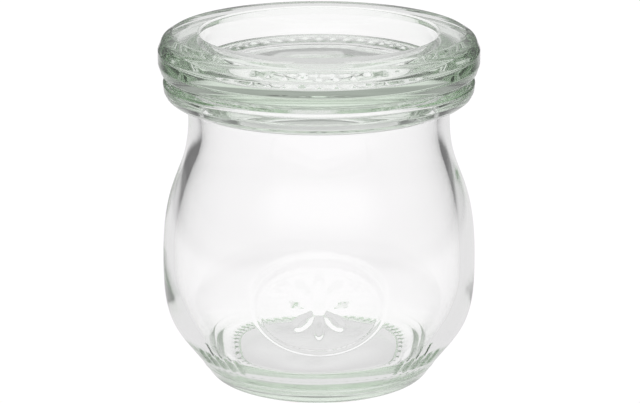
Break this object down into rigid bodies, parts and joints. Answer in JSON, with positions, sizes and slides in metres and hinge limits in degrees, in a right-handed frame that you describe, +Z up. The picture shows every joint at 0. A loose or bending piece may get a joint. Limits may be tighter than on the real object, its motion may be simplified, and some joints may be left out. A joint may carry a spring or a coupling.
{
  "type": "canning jar",
  "caption": "Small empty preserving jar of clear glass with a rounded belly, a short neck, a flanged rim and a loose flat glass lid with a raised edge.",
  "frame": {"origin": "centre of the circle that the jar stands on, at the lowest point of the foot", "axes": "+Z up along the axis that the jar and lid are turned about; the front, with the raised medallion, faces -Y"},
  "size_m": [0.0542, 0.0542, 0.06],
  "materials": {
    "jar_glass": "clear pressed soda-lime glass with a faint green cast in the thick parts",
    "lid_glass": "clear pressed soda-lime glass, thicker, so the green shows more"
  },
  "bodies": {
    "root": {"jar": "jar_glass", "lid": "lid_glass"}
  },
  "joints": []
}
